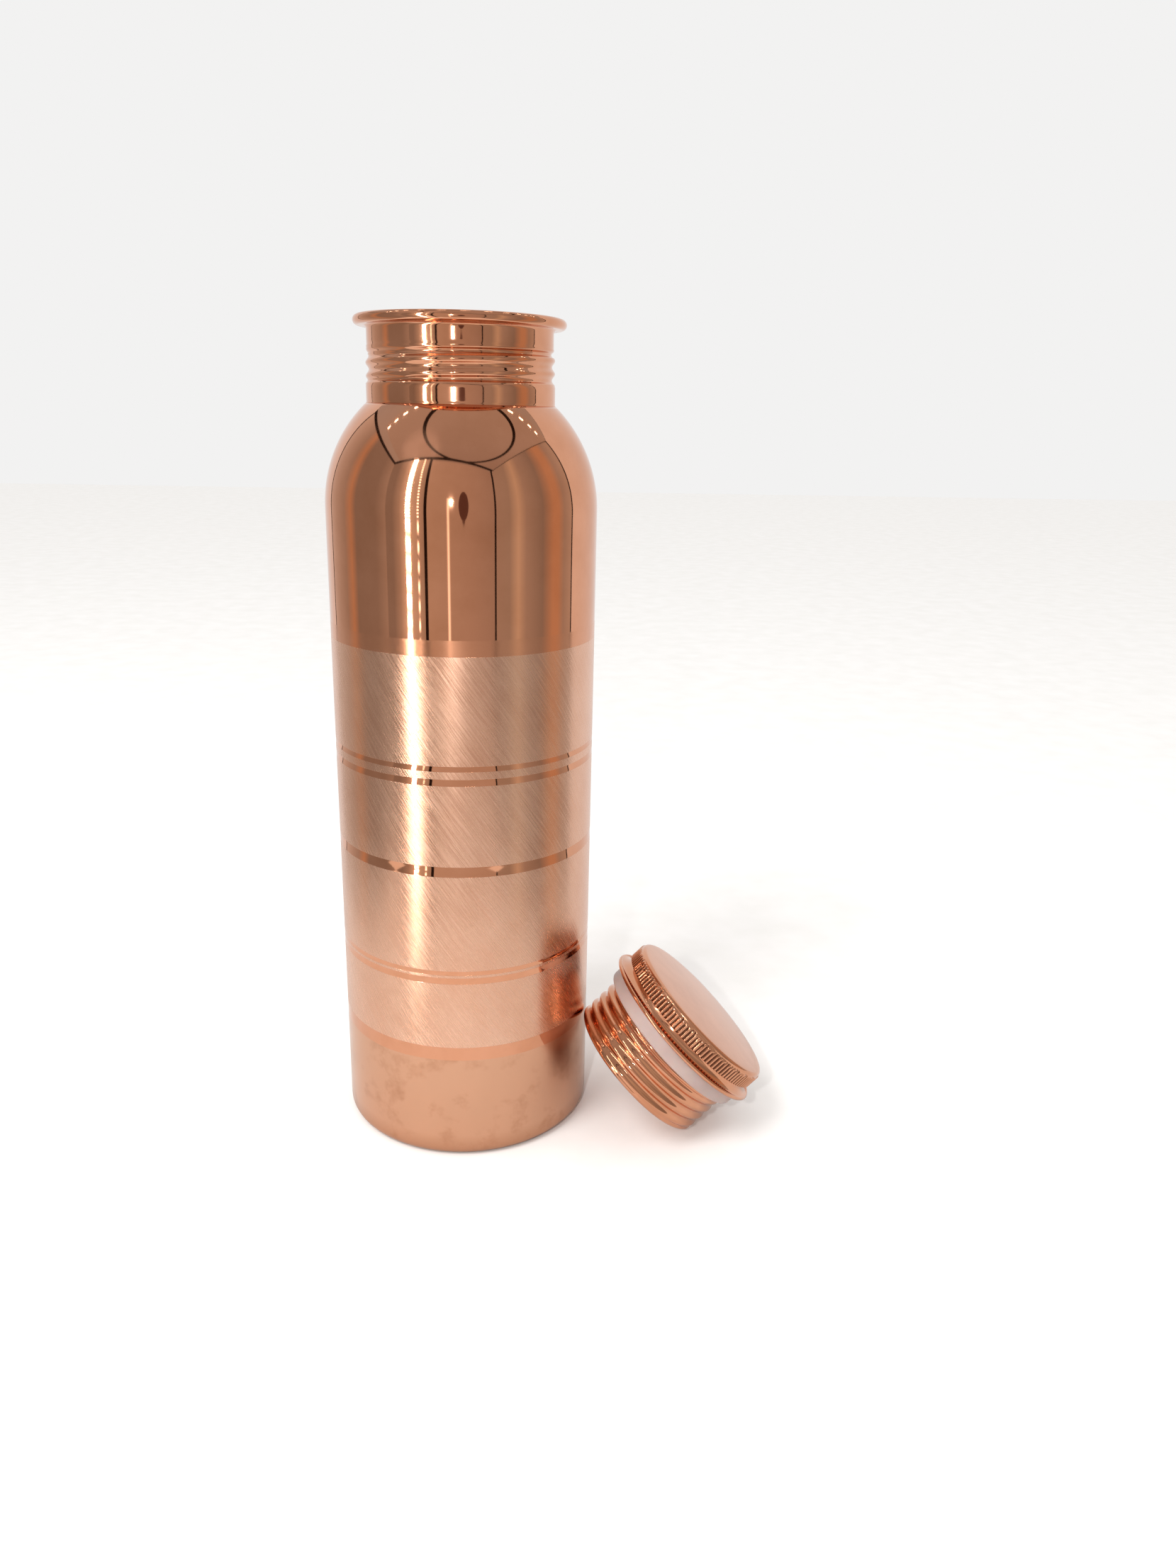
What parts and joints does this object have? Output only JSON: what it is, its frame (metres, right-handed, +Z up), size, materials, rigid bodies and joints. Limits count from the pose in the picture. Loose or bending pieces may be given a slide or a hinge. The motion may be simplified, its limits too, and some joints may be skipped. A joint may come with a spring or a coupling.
{
  "type": "copper water bottle",
  "caption": "Tall round copper water bottle with a domed shoulder, threaded neck and rolled lip; its knurled screw cap with a gasketed plug leans against it.",
  "frame": {"origin": "centre of the base's flat underside, on the surface that the bottle stands on", "axes": "+Z up the bottle's axis and out of its mouth; +X towards the side where the cap lies; -Y towards the front"},
  "size_m": [0.1274, 0.0852, 0.2341],
  "materials": {
    "copper_satin": "bare copper sheet, mirror polished above and below a diagonally brushed satin band",
    "copper_plain": "bare copper sheet, plain",
    "copper_polished": "bare copper sheet, mirror polished",
    "copper_knurled": "bare copper, polished top with a knurled side",
    "silicone_white": "translucent white silicone"
  },
  "bodies": {
    "bottle": {"body_shell": "copper_satin", "base_plate": "copper_plain", "neck_ring": "copper_polished"},
    "seal": {"gasket": "silicone_white"},
    "cap": {"cap_plug": "copper_polished", "cap_collar": "copper_polished", "cap_crown": "copper_knurled"}
  },
  "joints": [
    {"name": "cap_lift", "type": "slide", "parent": "bottle", "child": "seal", "axis": [0.7071, 0, 0.7071], "range_m": [0, 0.12]},
    {"name": "cap_turn", "type": "hinge", "parent": "seal", "child": "cap", "pos_m": [0.0516, -0.0192, 0.01643], "axis": [0.7071, 0, 0.7071], "continuous": true}
  ]
}
